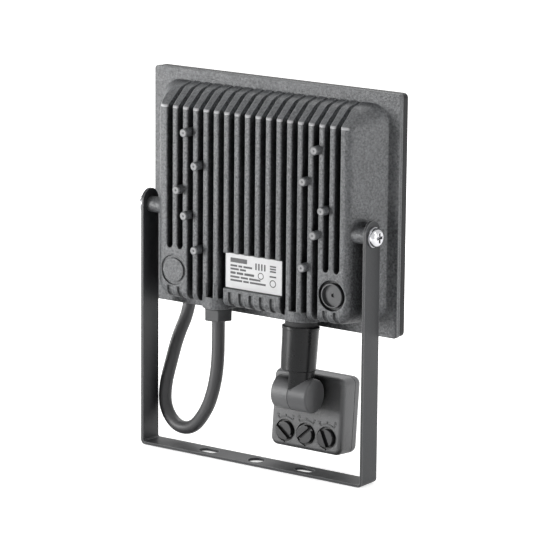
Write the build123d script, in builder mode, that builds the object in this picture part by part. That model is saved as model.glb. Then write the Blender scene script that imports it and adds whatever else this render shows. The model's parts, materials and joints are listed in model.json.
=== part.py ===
# Motion sensor floodlight, in millimetres. The origin is the middle of the underside of the
# bracket's crossbar. The light side faces -Y, +Z is up, and +X is to the right seen from the front.
from build123d import *
from math import atan, cos, degrees, radians, sin, tan
import os

os.makedirs("parts", exist_ok=True)

# Bracket strip, bent to a U
strip_width = 16.0
strip_thickness = 1.8
bracket_width = 169.0
tilt_height = 154.6
leg_end_rise = 10.0
bend_radius = 3.0
centre_hole_dia = 10.5
slot_width = 8.0
slot_length = 13.7
slot_spacing = 73.0

# Clearances
pin_gap = 0.1
face_gap = 0.15
side_gap = 0.2
thread_gap = 0.02

# Tilt screws and their washers
tilt_screw_dia = 6.0
tilt_screw_length = 14.0
tilt_head_dia = 11.6
tilt_head_height = 3.8
tilt_washer_dia = 12.4
tilt_washer_thickness = 1.0
side_boss_dia = 10.0

# Casting: flange, finned body
flange_width = 183.7
flange_height = 150.0
flange_thickness = 3.2
flange_corner = 2.0
flange_setback = 16.4
flange_rise = 10.0
flange_edge_round = 0.8
rim_groove_depth = 0.6
rim_groove_width = 0.6
rim_groove_offset = 1.5
body_width = 168.0
body_rear_width = 142.0
body_depth = 23.4
body_top_margin = 7.0
body_bottom_margin = 8.5
body_corner = 12.0
rear_margin_gain = 6.0
knee_depth = 13.4
knee_drop = 12.0
chamfer_drop = 20.0
rear_edge_fillet = 6.0
core_depth = 10.0
core_skin = 1.2
fin_pitch = 7.85
groove_floor_width = 3.2
groove_mouth_width = 4.0
fin_tip_round = 0.8
outer_groove_drop = 109.5
notch_depth = 1.2
notch_width = 3.6
pin_dia = 5.5
pin_proud = 5.0
pin_chamfer = 0.4
pin_places = [(48.8, 34.8), (40.6, 54.8), (54.4, 71.3), (48.6, 86.9), (40.5, 107.9)]

# Rating plate on its pad
pad_width = 43.2
pad_top_drop = 107.0
pad_height = 22.6
pad_recess = 2.9
plate_margin = 0.4
plate_thickness = 0.3

# Round places at the lower corners
corner_disc_inset = 11.3
corner_disc_drop = 123.3
ring_outer_dia = 19.2
ring_inner_dia = 15.0
ring_depth = 1.0
vent_recess = 3.0
vent_cup_dia = 15.2
vent_cup_proud = 0.3
vent_cup_wall = 0.9
vent_cup_depth = 2.0
vent_stem_dia = 6.0
vent_stem_length = 5.0
vent_hole_dia = 2.4

# Cable boss and sensor boss
boss_dia = 20.4
boss_depth = 14.2
boss_bottom_drop = 144.4
boss_top_drop = 128.3
flute_end_drop = 137.0
boss_foot_round = 4.0
boss_wall = 3.2
wire_way_width = 10.0
wire_way_drop = 134.0
wire_way_wall = 2.2

# Hollow of the casting
cavity_side_border = 11.85
cavity_top_border = 12.0
cavity_bottom_border = 13.5
cavity_corner = 8.0
cavity_floor = 6.8
cavity_draft = 16.7

# Front frame, pane and seal
frame_depth = 5.9
frame_corner = 3.0
frame_lip = 1.2
frame_edge_round = 1.2
frame_chamfer = 0.4
window_side_border = 11.85
window_end_border = 12.0
window_corner = 6.0
pane_overlap = 4.0
pane_thickness = 4.0
pane_gap = 0.3

# Light sources and reflector
board_thickness = 1.6
board_side_gap = 6.5
board_top_gap = 6.0
board_bottom_gap = 22.5
chip_width = 2.8
chip_height = 3.5
chip_thickness = 0.8
chip_columns = 8
chip_rows = 5
chip_pitch_x = 14.0
chip_pitch_z = 15.0
tray_driver_gap = 4.0
tray_chip_gap = 5.75
tray_flare = 8.0
tray_cavity_gap = 1.0
tray_wall = 1.0
tray_pane_gap = 0.9
board_screw_dia = 3.0
board_screw_length = 5.5
board_screw_head_dia = 5.6
board_screw_head_height = 2.0
board_screw_inset = 3.8
driver_width = 5.5
driver_height = 10.0
driver_thickness = 2.5
driver_pitch = 25.0
terminal_width = 24.0
terminal_height = 9.0
terminal_depth = 7.0
terminal_hole_dia = 3.0
terminal_pitch = 7.4
terminal_drop = 124.5

# Cable gland and cable
cable_dia = 8.3
cable_nut_flats = 16.6
cable_nut_height = 7.4
cable_nut_bore = 9.0
cable_washer_dia = 18.0
cable_washer_thickness = 0.8
cable_nut_floor = 2.0
cable_nut_round = 0.8
cable_seal_dia = 11.6
cable_thread_dia = 13.6
cable_thread_length = 4.0
conductor_dia = 2.6
conductor_length = 24.0
copper_dia = 1.4
copper_length = 7.0
conductor_spread = 1.75
conductor_splay = 6.0

# Sensor neck
neck_lean = 5.2
neck_length = 45.3
neck_lip_dia = 23.5
neck_lip_height = 2.1
neck_top_dia = 23.0
neck_end_dia = 22.0
neck_end_rise = 14.8
neck_edge_round = 0.6
neck_wall = 2.2
neck_spigot_dia = 12.6
neck_bore_dia = 8.0
neck_ring_dia = 20.0
neck_ring_thickness = 2.8
neck_nut_dia = 16.4
neck_nut_height = 2.0

# Knuckle
knuckle_dia = 21.2
lug_width = 13.4
ear_width = 11.9
knuckle_edge_round = 1.0
pivot_screw_dia = 4.0
pivot_head_dia = 7.6
pivot_head_height = 2.6
pivot_recess = 3.0
pivot_screw_length = 19.0

# Sensor head
head_width = 53.0
head_rise = 11.2
head_drop = 37.3
head_setback = 12.6
rear_shell_depth = 12.0
front_shell_depth = 8.0
head_corner = 5.0
rear_edge_round = 2.8
front_edge_round = 4.5
head_wall = 2.0
seam_step = 0.25
seam_depth = 0.5
lens_dia = 36.0
lens_height = 11.0
lens_wall = 1.0
lens_drop = 12.6
lens_flange = 1.5
post_dia = 5.0
post_inset = 4.4
post_top_gap = 1.5
head_screw_dia = 2.0
head_screw_length = 5.0
head_screw_head_dia = 3.8
head_screw_head_height = 1.4
sensor_board_inset = 0.8
sensor_board_thickness = 1.2
pyro_dia = 9.2
pyro_height = 4.0
dial_width = 8.0
knob_dia = 11.6
knob_proud = 2.0
knob_well_dia = 14.0
knob_well_depth = 1.4
knob_slot_width = 2.6
knob_slot_depth = 2.0
knob_edge_round = 0.4
knob_stem_dia = 4.0
knob_stem_length = 4.3
knob_pad_depth = 1.4
knob_pad_height = 15.0
knob_mark_width = 0.8
knob_pitch = 15.5
knob_drop = 27.2
knob_angles = [62.6, -43.4, 37.5]

# Cable route, from inside the gland, down, round the loop and up in front of the pane
cable_route = [
    (31.4, -2.2, 98.1),
    (31.4, -2.3, 82.0),
    (31.7, -2.3, 58.0),
    (35.0, -2.6, 41.1),
    (41.2, -3.9, 26.7),
    (53.5, -6.2, 12.0),
    (68.1, -8.2, 10.3),
    (78.2, -9.1, 21.2),
    (78.3, -9.5, 36.0),
    (76.8, -13.4, 50.1),
    (76.3, -19.9, 66.1),
    (74.9, -29.2, 80.6),
    (73.8, -31.0, 98.0),
    (73.2, -30.8, 120.0),
    (73.0, -30.9, 146.0),
]
cable_sharp_share = 0.45

# Derived places
leg_end_z = tilt_height + leg_end_rise
leg_inner_x = bracket_width / 2 - strip_thickness
flange_mid_z = tilt_height + flange_rise
flange_top_z = flange_mid_z + flange_height / 2
flange_back_y = -flange_setback
flange_front_y = flange_back_y - flange_thickness
fin_tip_y = flange_back_y + body_depth
core_y = flange_back_y + core_depth
body_top_z = flange_top_z - body_top_margin
body_bottom_z = flange_top_z - flange_height + body_bottom_margin
pad_y = fin_tip_y - pad_recess
floor_y = flange_back_y + cavity_floor
corner_disc_x = body_rear_width / 2 - corner_disc_inset
cavity_width = flange_width - 2 * cavity_side_border
cavity_height = flange_height - cavity_top_border - cavity_bottom_border
cavity_mid_z = flange_top_z - cavity_top_border - cavity_height / 2
window_width = flange_width - 2 * window_side_border
window_height = flange_height - 2 * window_end_border
boss_x = 4 * fin_pitch
boss_y = flange_back_y + boss_depth
gasket_thickness = frame_depth - frame_lip - pane_thickness
boss_bottom_z = flange_top_z - boss_bottom_drop
frame_front_y = flange_front_y - frame_depth
board_y = floor_y - board_thickness
board_width = cavity_width - 2 * board_side_gap
board_height = cavity_height - board_top_gap - board_bottom_gap
board_mid_z = flange_top_z - cavity_top_border - board_top_gap - board_height / 2


def facing_front(y):
    """A plane across the lamp at depth y, its normal to the front, x to the right and y up."""
    return Plane.XZ.offset(-y)


def facing_rear(y):
    """A plane across the lamp at depth y, its normal to the rear."""
    return Plane(origin=(0, y, 0), x_dir=(-1, 0, 0), z_dir=(0, 1, 0))


def facing_side(x, direction):
    """A plane at x whose normal points along +X or -X, on the tilt axis."""
    return Plane(origin=(x, 0, tilt_height), x_dir=(0, direction, 0), z_dir=(direction, 0, 0))


def drop(distance):
    """The height of a point that lies this far below the flange's top edge."""
    return flange_top_z - distance


def pan_head_screw(head_dia, head_height, shank_dia, length):
    """A cross recessed pan head screw along Z, its head above the XY plane."""
    recess_width = head_dia * 0.14
    recess_reach = head_dia * 0.52
    with BuildPart() as screw:
        Cylinder(head_dia / 2, head_height, align=(Align.CENTER, Align.CENTER, Align.MIN))
        fillet(screw.faces().sort_by(Axis.Z)[-1].edges(), head_height * 0.62)
        with BuildSketch(Plane.XY.offset(head_height)):
            Rectangle(recess_reach, recess_width)
            Rectangle(recess_width, recess_reach)
        extrude(amount=-head_height * 0.55, mode=Mode.SUBTRACT)
        Cylinder(shank_dia / 2, length, align=(Align.CENTER, Align.CENTER, Align.MAX))
    return screw.part


# Bracket
with BuildPart() as bracket:
    with BuildSketch(Plane.XZ) as strip:
        with Locations((0, leg_end_z / 2)):
            Rectangle(bracket_width, leg_end_z)
        fillet(strip.vertices().group_by(Axis.Y)[0], bend_radius)
        with Locations((0, strip_thickness + leg_end_z / 2)):
            Rectangle(2 * leg_inner_x, leg_end_z, mode=Mode.SUBTRACT)
        inner = strip.vertices().filter_by_position(Axis.Y, strip_thickness - 0.01, strip_thickness + 0.01)
        fillet(inner, bend_radius - strip_thickness)
    extrude(amount=strip_width / 2, both=True)
    # Round ends of the legs
    with BuildSketch(Plane.YZ):
        with Locations((0, (leg_end_z - strip_width / 2) / 2)):
            Rectangle(strip_width, leg_end_z - strip_width / 2)
        with Locations((0, leg_end_z - strip_width / 2)):
            Circle(strip_width / 2)
    extrude(amount=bracket_width / 2, both=True, mode=Mode.INTERSECT)
    # Round hole and two slots of the crossbar
    with BuildSketch(Plane.XY):
        Circle(centre_hole_dia / 2)
        with Locations((-slot_spacing / 2, 0), (slot_spacing / 2, 0)):
            SlotOverall(slot_length, slot_width)
    extrude(amount=strip_thickness, mode=Mode.SUBTRACT)
    # Holes of the tilt screws
    with BuildSketch(Plane.YZ):
        with Locations((0, tilt_height)):
            Circle(tilt_screw_dia / 2 + pin_gap)
    extrude(amount=bracket_width / 2, both=True, mode=Mode.SUBTRACT)


def strip_piece(low_x, high_x):
    """The length of the bent strip between two places along X."""
    with BuildPart() as piece:
        add(bracket.part)
        with Locations(((low_x + high_x) / 2, 0, 0)):
            Box(high_x - low_x, 2 * strip_width, 3 * tilt_height, mode=Mode.INTERSECT)
    return piece.part


# The strip is kept as its crossbar and two legs, which meet where the bends begin
bend_x = bracket_width / 2 - bend_radius
bracket_crossbar = strip_piece(-bend_x, bend_x)
bracket_leg_left = strip_piece(-bracket_width, -bend_x)
bracket_leg_right = strip_piece(bend_x, bracket_width)
bracket_crossbar.label = "bracket_crossbar"
bracket_leg_left.label = "bracket_leg_left"
bracket_leg_right.label = "bracket_leg_right"

washer_x = bracket_width / 2 + face_gap
head_x = washer_x + tilt_washer_thickness

with BuildPart() as bracket_washers:
    for direction in (-1, 1):
        with BuildSketch(facing_side(direction * washer_x, direction)):
            Circle(tilt_washer_dia / 2)
            Circle(tilt_screw_dia / 2 + pin_gap, mode=Mode.SUBTRACT)
        extrude(amount=tilt_washer_thickness)
bracket_washers.part.label = "bracket_washers"

tilt_screw = pan_head_screw(tilt_head_dia, tilt_head_height, tilt_screw_dia, tilt_screw_length)
with BuildPart() as bracket_screws:
    with Locations(facing_side(-head_x, -1), facing_side(head_x, 1)):
        add(tilt_screw)
bracket_screws.part.label = "bracket_screws"

# Tools that cut the grooves between the fins. Each is a slab with the section of one groove,
# shaped in side view by the core that the fins stand on.
cut_y = flange_back_y + body_depth + 20
groove_half_width = groove_mouth_width / 2 + fin_tip_round
groove_side = Plane.YZ.offset(-groove_half_width)
core_top = (core_y, body_top_z - core_skin - core_depth)
core_top_foot = (flange_back_y, body_top_z - core_skin)
core_bottom = (core_y, body_bottom_z + core_skin + core_depth)
core_bottom_foot = (flange_back_y, body_bottom_z + core_skin)
above_z = body_top_z + core_depth
below_z = body_bottom_z - core_depth


def groove_section(floor_width, mouth_width, tip_round):
    """The plan of one groove: walls that open to the rear and rounded fin tips."""
    half_floor = floor_width / 2
    half_mouth = mouth_width / 2
    with BuildSketch(Plane.XY) as section:
        with BuildLine():
            Polyline(
                (-half_mouth, fin_tip_y - tip_round),
                (-half_floor, core_y),
                (-half_floor, flange_back_y),
                (half_floor, flange_back_y),
                (half_floor, core_y),
                (half_mouth, fin_tip_y - tip_round),
            )
            RadiusArc(
                (half_mouth, fin_tip_y - tip_round),
                (half_mouth + tip_round, fin_tip_y),
                tip_round,
            )
            Polyline(
                (half_mouth + tip_round, fin_tip_y),
                (half_mouth + tip_round, cut_y),
                (-half_mouth - tip_round, cut_y),
                (-half_mouth - tip_round, fin_tip_y),
            )
            RadiusArc(
                (-half_mouth - tip_round, fin_tip_y),
                (-half_mouth, fin_tip_y - tip_round),
                tip_round,
            )
        make_face()
    return section.sketch


def groove_tool(side_sketch):
    """A groove whose side view is the given sketch and whose plan is one groove's section."""
    section = groove_section(groove_floor_width, groove_mouth_width, fin_tip_round)
    with BuildPart() as tool:
        extrude(side_sketch, amount=2 * groove_half_width)
        with BuildSketch(Plane.XY.offset(below_z)):
            add(section)
        extrude(amount=above_z - below_z, mode=Mode.INTERSECT)
    return tool.part


def side_view(lower_line):
    """The side view of a groove that starts at the flange's top and ends as lower_line says."""
    with BuildSketch(groove_side) as side:
        with BuildLine():
            RadiusArc(core_top_foot, core_top, core_depth)
            Polyline(core_top, lower_line[0])
            Polyline(*lower_line, (cut_y, above_z), (flange_back_y, above_z), core_top_foot)
        make_face()
    return side.sketch


# Deep groove that runs round the bottom edge
with BuildSketch(groove_side) as through_side:
    with BuildLine():
        RadiusArc(core_top_foot, core_top, core_depth)
        Line(core_top, core_bottom)
        RadiusArc(core_bottom, core_bottom_foot, core_depth)
        Polyline(
            core_bottom_foot,
            (flange_back_y, below_z),
            (cut_y, below_z),
            (cut_y, above_z),
            (flange_back_y, above_z),
            core_top_foot,
        )
    make_face()
through_groove = groove_tool(through_side.sketch)

# Groove that stops at the pad of the rating plate
pad_stop_z = drop(pad_top_drop)
pad_groove = groove_tool(side_view([(core_y, pad_stop_z), (cut_y, pad_stop_z)]))

# Groove that stops above the round places, with a round end
round_stop_z = drop(outer_groove_drop) + groove_mouth_width / 2
outer_groove = groove_tool(side_view([(core_y, round_stop_z), (cut_y, round_stop_z)]))

# Flute in a boss, its floor curving out to the surface
flute_start_z = drop(boss_top_drop) + core_depth
flute_bend_z = drop(flute_end_drop) + core_depth + 1
flute_end = (boss_y + boss_dia / 2 - 2, drop(flute_end_drop))
with BuildSketch(groove_side) as flute_side:
    with BuildLine():
        floor_line = Line((core_y, flute_start_z), (core_y, flute_bend_z))
        TangentArc((core_y, flute_bend_z), flute_end, tangent=floor_line % 1)
        Polyline(
            flute_end,
            (cut_y, drop(flute_end_drop)),
            (cut_y, flute_start_z),
            (core_y, flute_start_z),
        )
    make_face()
boss_flute = groove_tool(flute_side.sketch)


def notch_tool(start_z):
    """A shallow notch round the body's bottom edge, from start_z down."""
    skin_y = fin_tip_y - notch_depth
    skin_z = body_bottom_z + notch_depth
    bend = rear_edge_fillet - notch_depth
    with BuildPart() as tool:
        with BuildSketch(Plane.YZ.offset(-notch_width / 2)):
            with BuildLine():
                Polyline((cut_y, start_z), (skin_y, start_z), (skin_y, skin_z + bend))
                RadiusArc((skin_y, skin_z + bend), (skin_y - bend, skin_z), bend)
                Polyline(
                    (skin_y - bend, skin_z),
                    (flange_back_y, skin_z),
                    (flange_back_y, below_z),
                    (cut_y, below_z),
                    (cut_y, start_z),
                )
            make_face()
        extrude(amount=notch_width)
    return tool.part


# Neck and head stand on a frame that leans rearwards below the sensor boss
lean_up = (0, -sin(radians(neck_lean)), cos(radians(neck_lean)))
neck_base = Plane(origin=(-boss_x, boss_y, boss_bottom_z), x_dir=(1, 0, 0), z_dir=lean_up)
knuckle = neck_base.offset(-neck_length)
knuckle_side = Plane(origin=knuckle.origin, x_dir=knuckle.y_dir, z_dir=knuckle.x_dir)


def head_plane(depth):
    """A plane across the head, depth in front of the knuckle's axis, facing the front, y up."""
    return Plane(
        origin=knuckle.origin - knuckle.y_dir * depth,
        x_dir=knuckle.x_dir,
        z_dir=-knuckle.y_dir,
    )


# Places shared by the housing and what is screwed to it
pivot_seat_x = face_gap + ear_width - pivot_recess
pivot_tip_x = pivot_seat_x - pivot_screw_length
spigot_length = neck_ring_thickness + face_gap + boss_wall + face_gap + neck_nut_height
board_screw_columns = [board_width / 2 - board_screw_inset, 4.5 * fin_pitch]
board_screw_fronts = [
    (side * x, board_mid_z + up * (board_height / 2 - board_screw_inset))
    for side in (-1, 1)
    for x in board_screw_columns
    for up in (-1, 1)
]
board_screw_places = [(-x, z) for x, z in board_screw_fronts]
gland_bore_depth = cable_thread_length + side_gap
way_low_z = boss_bottom_z + boss_wall
way_front_y = flange_front_y + wire_way_wall
way_rear_y = core_y - groove_mouth_width / 4

# Housing
knee = (flange_back_y + knee_depth, drop(knee_drop))
with BuildPart() as housing:
    # Body: rounded block that narrows to the rear
    with BuildSketch(facing_rear(flange_back_y)):
        with Locations((0, (body_top_z + body_bottom_z) / 2)):
            RectangleRounded(body_width, body_top_z - body_bottom_z, body_corner)
    with BuildSketch(facing_rear(fin_tip_y)):
        with Locations((0, (body_top_z - rear_margin_gain + body_bottom_z) / 2)):
            RectangleRounded(
                body_rear_width, body_top_z - rear_margin_gain - body_bottom_z, body_corner
            )
    loft(ruled=True)
    # Side view: knee and chamfer at the top, round at the bottom
    with BuildSketch(Plane.YZ):
        with BuildLine():
            slope = Line((fin_tip_y, drop(chamfer_drop)), knee)
            TangentArc(knee, (flange_back_y, body_top_z), tangent=slope % 1)
            Polyline(
                (flange_back_y, body_top_z),
                (flange_back_y, body_bottom_z),
                (fin_tip_y, body_bottom_z),
                (fin_tip_y, drop(chamfer_drop)),
            )
        make_face()
    extrude(amount=body_width / 2, both=True, mode=Mode.INTERSECT)
    rear_edges = housing.faces().sort_by(Axis.Y)[-1].edges()
    fillet(rear_edges.sort_by(Axis.Z)[:-1], rear_edge_fillet)
    # Grooves between the fins
    with Locations(*[(side * n * fin_pitch, 0, 0) for side in (-1, 1) for n in (3, 4, 5, 6)]):
        add(through_groove, mode=Mode.SUBTRACT)
    with Locations(*[(n * fin_pitch, 0, 0) for n in (-2, -1, 0, 1, 2)]):
        add(pad_groove, mode=Mode.SUBTRACT)
    with Locations(*[(side * n * fin_pitch, 0, 0) for side in (-1, 1) for n in (7, 8)]):
        add(outer_groove, mode=Mode.SUBTRACT)
    with BuildSketch(facing_front(cut_y)):
        with Locations(*[(side * n * fin_pitch, round_stop_z) for side in (-1, 1) for n in (7, 8)]):
            Circle(groove_mouth_width / 2)
    extrude(amount=cut_y - core_y, mode=Mode.SUBTRACT)
    # Bosses of the cable and the sensor, each with a foot to the flange
    with BuildSketch(Plane.XY.offset(boss_bottom_z - 1)):
        with Locations((-boss_x, boss_y), (boss_x, boss_y)):
            Circle(boss_dia / 2)
        with Locations((-boss_x, (boss_y + flange_back_y) / 2), (boss_x, (boss_y + flange_back_y) / 2)):
            Rectangle(boss_dia, boss_depth)
    extrude(amount=boss_bottom_drop - boss_top_drop + 1)
    with Locations(*[(side * boss_x + n * fin_pitch, 0, 0) for side in (-1, 1) for n in (-1, 0, 1)]):
        add(boss_flute, mode=Mode.SUBTRACT)
    # Bottom faces of the bosses, the sensor's square to its leaning neck
    with BuildSketch(Plane.XY.offset(boss_bottom_z)):
        with Locations((boss_x, boss_y)):
            Rectangle(2 * boss_dia, 4 * boss_dia)
    extrude(amount=-2 * boss_wall, mode=Mode.SUBTRACT)
    with BuildSketch(neck_base):
        Rectangle(2 * boss_dia, 4 * boss_dia)
    extrude(amount=-2 * boss_wall, mode=Mode.SUBTRACT)
    # Flange with a fine groove round its edge
    with BuildSketch(facing_front(flange_back_y)):
        with Locations((0, flange_mid_z)):
            RectangleRounded(flange_width, flange_height, flange_corner)
    extrude(amount=rim_groove_offset)
    with BuildSketch(facing_front(flange_back_y)):
        with Locations((0, flange_mid_z)):
            RectangleRounded(
                flange_width - 2 * rim_groove_depth,
                flange_height - 2 * rim_groove_depth,
                flange_corner,
            )
    extrude(amount=flange_thickness)
    with BuildSketch(facing_front(flange_back_y - rim_groove_offset - rim_groove_width)):
        with Locations((0, flange_mid_z)):
            RectangleRounded(flange_width, flange_height, flange_corner)
    extrude(amount=flange_thickness - rim_groove_offset - rim_groove_width)
    # Pad of the rating plate, and the shallow notches below it and the round places
    with BuildSketch(facing_front(fin_tip_y)):
        with Locations((0, pad_stop_z - pad_height / 2)):
            Rectangle(pad_width, pad_height)
    extrude(amount=pad_recess, mode=Mode.SUBTRACT)
    pad_notch = notch_tool(pad_stop_z - pad_height - 2)
    with Locations(*[(n * fin_pitch, 0, 0) for n in (-2, -1, 0, 1, 2)]):
        add(pad_notch, mode=Mode.SUBTRACT)
    disc_notch = notch_tool(drop(corner_disc_drop) - ring_outer_dia / 2 - 0.5)
    with Locations(*[(side * n * fin_pitch, 0, 0) for side in (-1, 1) for n in (7, 8)]):
        add(disc_notch, mode=Mode.SUBTRACT)
    # Locating pins
    with BuildSketch(facing_rear(core_y - 1)):
        with Locations(*[(side * x, drop(z)) for side in (-1, 1) for x, z in pin_places]):
            Circle(pin_dia / 2)
    extrude(amount=body_depth - core_depth + 1 + pin_proud)
    pin_ends = housing.faces().sort_by(Axis.Y)[-2 * len(pin_places):]
    chamfer(pin_ends.edges(), pin_chamfer)
    # Ring round the closed place, recess and hole of the vent
    with BuildSketch(facing_front(fin_tip_y)):
        with Locations((corner_disc_x, drop(corner_disc_drop))):
            Circle(ring_outer_dia / 2)
            Circle(ring_inner_dia / 2, mode=Mode.SUBTRACT)
    extrude(amount=ring_depth, mode=Mode.SUBTRACT)
    with BuildSketch(facing_front(fin_tip_y)):
        with Locations((-corner_disc_x, drop(corner_disc_drop))):
            Circle(ring_outer_dia / 2)
    extrude(amount=vent_recess, mode=Mode.SUBTRACT)
    with BuildSketch(facing_front(fin_tip_y - vent_recess)):
        with Locations((-corner_disc_x, drop(corner_disc_drop))):
            Circle(vent_stem_dia / 2 + thread_gap)
    extrude(amount=vent_stem_length + side_gap, mode=Mode.SUBTRACT)
    with BuildSketch(facing_front(fin_tip_y - vent_recess)):
        with Locations((-corner_disc_x, drop(corner_disc_drop))):
            Circle(vent_hole_dia / 2)
    extrude(amount=body_depth, mode=Mode.SUBTRACT)
    # Side bosses of the tilt screws
    for direction in (-1, 1):
        with BuildSketch(facing_side(direction * (leg_inner_x - side_gap), direction)):
            Circle(side_boss_dia / 2)
        extrude(amount=body_rear_width / 2 - leg_inner_x)
    # Hollow behind the pane
    with BuildSketch(facing_rear(flange_front_y)):
        with Locations((0, cavity_mid_z)):
            RectangleRounded(cavity_width, cavity_height, cavity_corner)
    extrude(amount=flange_thickness + cavity_floor, taper=cavity_draft, mode=Mode.SUBTRACT)
    # Threads of the tilt screws and of the board's screws
    for direction in (-1, 1):
        with BuildSketch(facing_side(direction * (leg_inner_x - side_gap), direction)):
            Circle(tilt_screw_dia / 2 + thread_gap)
        extrude(amount=head_x - tilt_screw_length - leg_inner_x, mode=Mode.SUBTRACT)
    with BuildSketch(facing_rear(floor_y)):
        with Locations(*board_screw_places):
            Circle(board_screw_dia / 2 + thread_gap)
    extrude(amount=board_screw_length - board_thickness + side_gap, mode=Mode.SUBTRACT)
    # Bore of the cable gland
    with BuildSketch(Plane.XY.offset(boss_bottom_z)):
        with Locations((boss_x, boss_y)):
            Circle(cable_thread_dia / 2 + thread_gap)
    extrude(amount=gland_bore_depth, mode=Mode.SUBTRACT)
    # Bore of the sensor neck and the pocket of its nut
    with BuildSketch(neck_base):
        Circle(neck_spigot_dia / 2 + pin_gap)
    extrude(amount=boss_wall, mode=Mode.SUBTRACT)
    with BuildSketch(neck_base.offset(boss_wall)):
        Circle(neck_nut_dia / 2 + side_gap)
        with Locations((0, -boss_depth / 2)):
            Rectangle(neck_nut_dia + 2 * side_gap, boss_depth - wire_way_wall)
    extrude(amount=neck_nut_height + 2 * side_gap, mode=Mode.SUBTRACT)
    # Wire ways from both bores up into the hollow
    for side, width in ((-1, neck_nut_dia + 2 * side_gap), (1, wire_way_width)):
        with BuildSketch(Plane.YZ.offset(side * boss_x - width / 2)):
            with BuildLine():
                Polyline(
                    (way_front_y, way_low_z),
                    (boss_y, way_low_z),
                    (boss_y, way_low_z + neck_nut_height),
                    (way_rear_y, way_low_z + neck_nut_height),
                    (way_rear_y, drop(wire_way_drop)),
                    (way_front_y, drop(wire_way_drop)),
                    (way_front_y, way_low_z),
                )
            make_face()
        extrude(amount=width, mode=Mode.SUBTRACT)
housing.part.label = "housing"

# Front frame
with BuildPart() as front_frame:
    with BuildSketch(facing_front(flange_front_y)):
        with Locations((0, flange_mid_z)):
            RectangleRounded(flange_width, flange_height, frame_corner)
    extrude(amount=frame_depth)
    fillet(front_frame.faces().sort_by(Axis.Y)[0].edges(), frame_edge_round)
    chamfer(front_frame.faces().sort_by(Axis.Y)[-1].edges(), frame_chamfer)
    with BuildSketch(facing_front(flange_front_y)):
        with Locations((0, flange_mid_z)):
            RectangleRounded(
                window_width + 2 * (pane_overlap + pane_gap),
                window_height + 2 * (pane_overlap + pane_gap),
                window_corner,
            )
    extrude(amount=frame_depth - frame_lip, mode=Mode.SUBTRACT)
    with BuildSketch(facing_front(flange_front_y)):
        with Locations((0, flange_mid_z)):
            RectangleRounded(window_width, window_height, window_corner)
    extrude(amount=frame_depth, mode=Mode.SUBTRACT)
front_frame.part.label = "front_frame"

with BuildPart() as front_glass:
    with BuildSketch(facing_front(flange_front_y - gasket_thickness)):
        with Locations((0, flange_mid_z)):
            RectangleRounded(
                window_width + 2 * pane_overlap, window_height + 2 * pane_overlap, window_corner
            )
    extrude(amount=pane_thickness)
front_glass.part.label = "front_glass"

with BuildPart() as glass_gasket:
    with BuildSketch(facing_front(flange_front_y)):
        with Locations((0, flange_mid_z)):
            RectangleRounded(
                window_width + 2 * pane_overlap, window_height + 2 * pane_overlap, window_corner
            )
            RectangleRounded(
                window_width + 2 * pane_gap,
                window_height + 2 * pane_gap,
                window_corner,
                mode=Mode.SUBTRACT,
            )
    extrude(amount=gasket_thickness)
glass_gasket.part.label = "glass_gasket"

# Reflector: a funnel round the light sources, with a plate in front of the wiring space
tray_front_y = flange_front_y + gasket_thickness - tray_pane_gap
tray_rear_width = board_width - 2 * board_screw_inset - driver_width - 2 * tray_driver_gap - 2 * tray_wall
tray_rear_height = (chip_rows - 1) * chip_pitch_z + chip_height + 2 * tray_chip_gap
with BuildPart() as reflector:
    with BuildSketch(facing_front(tray_front_y + tray_wall)):
        with Locations((0, cavity_mid_z)):
            RectangleRounded(
                cavity_width - 2 * tray_cavity_gap, cavity_height - 2 * tray_cavity_gap, cavity_corner
            )
    extrude(amount=tray_wall)
    for grow, mode in ((tray_wall, Mode.ADD), (0, Mode.SUBTRACT)):
        with BuildSketch(facing_front(board_y)):
            with Locations((0, board_mid_z)):
                RectangleRounded(tray_rear_width + 2 * grow, tray_rear_height + 2 * grow, 4)
        with BuildSketch(facing_front(tray_front_y)):
            with Locations((0, board_mid_z)):
                RectangleRounded(
                    tray_rear_width + 2 * tray_flare + 2 * grow,
                    tray_rear_height + 2 * tray_flare + 2 * grow,
                    4,
                )
        loft(mode=mode)
reflector.part.label = "reflector"

# Board with its light sources and drivers
with BuildPart() as led_board:
    with BuildSketch(facing_front(floor_y)):
        with Locations((0, board_mid_z)):
            RectangleRounded(board_width, board_height, 2)
        with Locations(*[(x, z) for x, z in board_screw_fronts]):
            Circle(board_screw_dia / 2 + pin_gap, mode=Mode.SUBTRACT)
    extrude(amount=board_thickness)
led_board.part.label = "led_board"

with BuildPart() as led_chips:
    with BuildSketch(facing_front(board_y)):
        with Locations((0, board_mid_z)):
            with GridLocations(chip_pitch_x, chip_pitch_z, chip_columns, chip_rows):
                Rectangle(chip_width, chip_height)
    extrude(amount=chip_thickness)
led_chips.part.label = "led_chips"

with BuildPart() as driver_parts:
    with BuildSketch(facing_front(board_y)):
        with Locations((0, board_mid_z)):
            with GridLocations(board_width - 2 * board_screw_inset, driver_pitch, 2, 3):
                Rectangle(driver_width, driver_height)
    extrude(amount=driver_thickness)
driver_parts.part.label = "driver_parts"

board_screw = pan_head_screw(
    board_screw_head_dia, board_screw_head_height, board_screw_dia, board_screw_length
)
with BuildPart() as board_screws:
    for x, z in board_screw_fronts:
        with Locations(Plane(origin=(x, board_y, z), x_dir=(1, 0, 0), z_dir=(0, -1, 0))):
            add(board_screw)
board_screws.part.label = "board_screws"

with BuildPart() as terminal_block:
    with BuildSketch(facing_front(floor_y)):
        with Locations((boss_x, drop(terminal_drop))):
            Rectangle(terminal_width, terminal_height)
    extrude(amount=terminal_depth)
    with BuildSketch(facing_front(floor_y - terminal_depth)):
        with Locations((boss_x, drop(terminal_drop))):
            with GridLocations(terminal_pitch, 1, 3, 1):
                Circle(terminal_hole_dia / 2)
    extrude(amount=-terminal_depth / 2, mode=Mode.SUBTRACT)
terminal_block.part.label = "terminal_block"

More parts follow.
